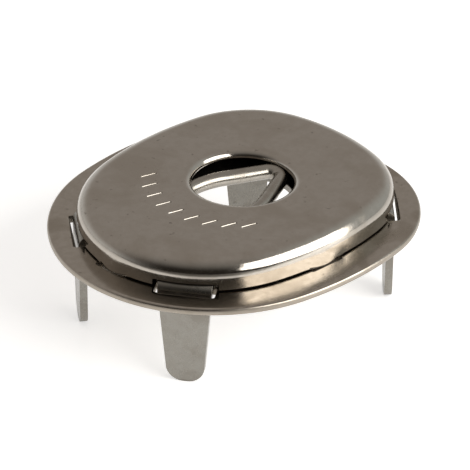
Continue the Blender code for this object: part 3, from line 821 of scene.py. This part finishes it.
class NodeKit:
    """Short ways to add and link the nodes of one tree."""

    def __init__(self, tree):
        self.nodes = tree.nodes
        self.links = tree.links
        self.place = self.nodes.new("ShaderNodeTexCoord").outputs["Object"]

    def feed(self, socket, value):
        """Give a socket another node's output, a colour or a number."""
        if isinstance(value, bpy.types.NodeSocket):
            self.links.new(value, socket)
        elif isinstance(value, tuple) and len(value) == 3 and len(socket.default_value) == 4:
            socket.default_value = (*value, 1)
        else:
            socket.default_value = value

    def noise(self, size, detail, distortion=0.0, shift=0.0, stretch=(1, 1, 1)):
        """Noise from 0 to 1 whose blotches are about this size, in millimetres.

        The shift gives each pattern a part of the noise to itself."""
        mapping = self.nodes.new("ShaderNodeMapping")
        mapping.inputs["Location"].default_value = (shift, shift, shift)
        mapping.inputs["Scale"].default_value = [part / (size * MM) for part in stretch]
        self.links.new(self.place, mapping.inputs["Vector"])
        node = self.nodes.new("ShaderNodeTexNoise")
        node.inputs["Scale"].default_value = 1
        node.inputs["Detail"].default_value = detail
        node.inputs["Distortion"].default_value = distortion
        self.links.new(mapping.outputs["Vector"], node.inputs["Vector"])
        return node.outputs["Fac"]

    def ramp(self, value, start, end, low=0.0, high=1.0):
        """Smoothly from low to high as the value goes from start to end."""
        node = self.nodes.new("ShaderNodeMapRange")
        node.interpolation_type = "SMOOTHSTEP"
        self.links.new(value, node.inputs["Value"])
        for name, number in (("From Min", start), ("From Max", end),
                             ("To Min", low), ("To Max", high)):
            node.inputs[name].default_value = number
        return node.outputs["Result"]

    def along(self, vector, axis):
        """How far a vector reaches along an axis."""
        node = self.nodes.new("ShaderNodeVectorMath")
        node.operation = "DOT_PRODUCT"
        node.inputs[1].default_value = axis
        self.links.new(vector, node.inputs[0])
        return node.outputs["Value"]

    def maths(self, operation, first, second):
        """One sum of two numbers or outputs."""
        node = self.nodes.new("ShaderNodeMath")
        node.operation = operation
        self.feed(node.inputs[0], first)
        self.feed(node.inputs[1], second)
        return node.outputs["Value"]

    def mix(self, factor, first, second):
        """A colour between two, from the first at 0 to the second at 1."""
        node = self.nodes.new("ShaderNodeMix")
        node.data_type = "RGBA"
        self.feed(node.inputs["Factor"], factor)
        self.feed(node.inputs[6], first)
        self.feed(node.inputs[7], second)
        return node.outputs[2]

    def bump(self, height, depth, normal=None):
        """A bump whose full height is this many millimetres."""
        node = self.nodes.new("ShaderNodeBump")
        node.inputs["Strength"].default_value = 1
        node.inputs["Distance"].default_value = depth * MM
        self.links.new(height, node.inputs["Height"])
        if normal:
            self.links.new(normal, node.inputs["Normal"])
        return node.outputs["Normal"]

    def crevice(self, reach):
        """1 in the open and lower down where other surfaces are near."""
        node = self.nodes.new("ShaderNodeAmbientOcclusion")
        node.samples = CREVICE_SAMPLES
        node.inputs["Distance"].default_value = reach * MM
        return node.outputs["AO"]

    def sheared_edge(self):
        """1 on upright faces, such as the cut edge of a flat sheet."""
        parts = self.nodes.new("ShaderNodeSeparateXYZ")
        self.links.new(self.nodes.new("ShaderNodeTexCoord").outputs["Normal"], parts.inputs[0])
        level = self.maths("ABSOLUTE", parts.outputs["Z"], 0.0)
        return self.ramp(level, *UPRIGHT_SPAN, 1.0, 0.0)


def plated_metal(name, finish):
    """Nickel plate: stains, orange peel, fine wear, and soiling and painted shade in the corners
    and under the cap.
    """
    material = bpy.data.materials.new(name)
    material.use_nodes = True
    shader = material.node_tree.nodes["Principled BSDF"]
    kit = NodeKit(material.node_tree)
    stains = kit.noise(finish.stain_size, detail=4, distortion=0.6)
    stains = kit.ramp(stains, *STAIN_SPAN)
    mottle = kit.noise(MOTTLE_SIZE, detail=3, distortion=0.2, shift=3.0)
    grain = kit.noise(GRAIN_SIZE, detail=2, shift=7.0)
    specks = kit.noise(SPECK_SIZE, detail=2, distortion=0.3, shift=11.0)
    specks = kit.ramp(specks, *SPECK_SPAN)
    scratches = kit.noise(SCRATCH_SIZE, detail=2, distortion=0.5, shift=5.0,
                          stretch=SCRATCH_STRETCH)
    scratches = kit.ramp(scratches, *SCRATCH_SPAN)
    colour = kit.mix(kit.maths("MULTIPLY", stains, finish.stain), finish.clean, finish.dull)
    colour = kit.mix(kit.ramp(mottle, *MOTTLE_SPAN, 0.0, MOTTLE_SHARE), colour, finish.dull)
    colour = kit.mix(kit.maths("MULTIPLY", specks, SPECK_SHARE), colour, finish.grime)
    # Patchy darkening in corners and crevices, such as the gap at the cap's foot: partly
    # soiling, partly painted shade
    dirt_and_shade = kit.maths("MULTIPLY", kit.ramp(kit.crevice(DIRT_AND_SHADE_REACH), *DIRT_AND_SHADE_SPAN, 1.0, 0.0),
                     kit.ramp(mottle, *DIRT_AND_SHADE_MOTTLE_SPAN, *DIRT_AND_SHADE_MOTTLE_SHARES))
    # Painted shade: the hollow under the cap and the pieces in it are darkened as if shadowed
    inside = kit.ramp(kit.crevice(INSIDE_SHADE_REACH), *INSIDE_SHADE_SPAN, finish.inside, 0.0)
    dirt_and_shade = kit.maths("MAXIMUM", dirt_and_shade, inside)
    # The soiling and the painted shade take the darkest colour
    colour = kit.mix(dirt_and_shade, colour, finish.grime)
    edge = kit.maths("MULTIPLY", kit.sheared_edge(), finish.edge)
    kit.feed(shader.inputs["Base Color"], kit.mix(edge, colour, finish.dull))
    rough = kit.ramp(stains, 0.0, 1.0, finish.roughness, finish.roughness + STAIN_ROUGHNESS)
    rough = kit.maths("ADD", rough, kit.ramp(grain, *GRAIN_SPAN, *GRAIN_ROUGHNESS))
    for pattern, strength in ((scratches, SCRATCH_ROUGHNESS), (edge, EDGE_ROUGHNESS),
                              (dirt_and_shade, DIRT_AND_SHADE_ROUGHNESS)):
        rough = kit.maths("ADD", rough, kit.maths("MULTIPLY", pattern, strength))
    kit.feed(shader.inputs["Roughness"], rough)
    shader.inputs["Metallic"].default_value = 1.0
    wave = kit.noise(finish.wave_size, detail=1, distortion=0.3, shift=2.0,
                     stretch=WAVE_STRETCH)
    normal = kit.bump(wave, finish.wave_depth)
    normal = kit.bump(mottle, finish.peel_depth, normal)
    kit.feed(shader.inputs["Normal"], kit.bump(grain, finish.grain_depth, normal))
    return material


def dress(item, material):
    """Give the piece this one material."""
    item.data.materials.clear()
    item.data.materials.append(material)


def add_camera():
    """The camera at the photo's viewing angle."""
    camera = bpy.data.objects.new("camera", bpy.data.cameras.new("camera"))
    bpy.context.scene.collection.objects.link(camera)
    camera.data.sensor_width = CAMERA_SENSOR
    camera.data.lens = CAMERA_LENS
    camera.data.clip_start = CAMERA_NEAR
    camera.location = CAMERA_TARGET + CAMERA_AWAY * CAMERA_DISTANCE
    camera.rotation_mode = "QUATERNION"
    camera.rotation_quaternion = (-CAMERA_AWAY).to_track_quat("-Z", "Y")
    bpy.context.scene.camera = camera


def add_softbox():
    """A large soft lamp to the right of the camera."""
    data = bpy.data.lights.new("softbox", "AREA")
    data.shape = "RECTANGLE"
    data.size = SOFTBOX_WIDTH
    data.size_y = SOFTBOX_HEIGHT
    data.energy = SOFTBOX_RADIANCE * SOFTBOX_WIDTH * SOFTBOX_HEIGHT * math.pi
    data.color = SOFTBOX_COLOUR
    lamp = bpy.data.objects.new("softbox", data)
    toward = Vector((math.cos(SOFTBOX_AZIMUTH), math.sin(SOFTBOX_AZIMUTH), 0))
    lamp.location = toward * SOFTBOX_DISTANCE + SOFTBOX_LEVEL * UP
    lamp.rotation_mode = "QUATERNION"
    lamp.rotation_quaternion = (-toward).to_track_quat("-Z", "Z")
    bpy.context.scene.collection.objects.link(lamp)


def add_world():
    """A soft grey room, paler low down on the far side and dark behind the camera."""
    world = bpy.data.worlds.new("studio")
    bpy.context.scene.world = world
    world.use_nodes = True
    kit = NodeKit(world.node_tree)
    vector = kit.nodes.new("ShaderNodeTexCoord").outputs["Generated"]
    low = kit.ramp(kit.along(vector, -UP), *ROOM_LOW_SPAN)
    front = kit.ramp(kit.along(vector, CAMERA_SIDE), *ROOM_FRONT_SPAN)
    high = kit.ramp(kit.along(vector, UP), *ROOM_HIGH_SPAN)
    left = kit.ramp(kit.along(vector, -CAMERA_SIDE.cross(UP)), *ROOM_LEFT_SPAN)
    colour = kit.mix(low, ROOM_HIGH, ROOM_LOW)
    colour = kit.mix(left, colour, ROOM_LEFT)
    colour = kit.mix(front, colour, kit.mix(high, ROOM_DARK, ROOM_DUSK))
    kit.feed(kit.nodes["Background"].inputs["Color"], colour)


def add_floor():
    """A pale, faintly glossy table; its own glow shows only where it is looked at."""
    body = bmesh.new()
    bmesh.ops.create_grid(body, x_segments=1, y_segments=1, size=FLOOR_HALF_SIZE)
    floor = new_object("floor", mesh_from("floor", body))
    material = bpy.data.materials.new("floor")
    material.use_nodes = True
    kit = NodeKit(material.node_tree)
    shader = kit.nodes["Principled BSDF"]
    shade = kit.ramp(kit.along(kit.place, CAMERA_SIDE), FLOOR_SHADE_START, FLOOR_SHADE_END)
    kit.feed(shader.inputs["Base Color"], kit.mix(shade, FLOOR_COLOUR, FLOOR_SHADE_COLOUR))
    shader.inputs["Roughness"].default_value = FLOOR_ROUGHNESS
    path = kit.nodes.new("ShaderNodeLightPath")
    seen = kit.maths("MAXIMUM", path.outputs["Is Camera Ray"], path.outputs["Is Glossy Ray"])
    seen = kit.maths("MAXIMUM", seen, path.outputs["Is Transmission Ray"])
    gloss = kit.nodes.new("ShaderNodeFresnel")
    gloss.inputs["IOR"].default_value = FLOOR_IOR
    under = kit.maths("SUBTRACT", 1.0, gloss.outputs["Fac"])
    glow = kit.maths("MULTIPLY", kit.maths("MULTIPLY", seen, under),
                     kit.ramp(shade, 0.0, 1.0, FLOOR_GLOW, 0.0))
    kit.feed(shader.inputs["Emission Color"], (1.0, 1.0, 1.0))
    kit.feed(shader.inputs["Emission Strength"], glow)
    floor.data.materials.append(material)


base_plate = make_base_plate()
seat_plate = make_seat_plate()
cap = make_cap()
spring = make_spring()
for piece, slot in ((base_plate, "base_plate"), (seat_plate, "seat_plate"),
                    (cap, "cap"), (spring, "latch_spring")):
    dress(piece, plated_metal(slot + "_metal", FINISHES[slot]))
bpy.context.scene.view_settings.view_transform = "Standard"
add_world()
add_softbox()
add_floor()
add_camera()
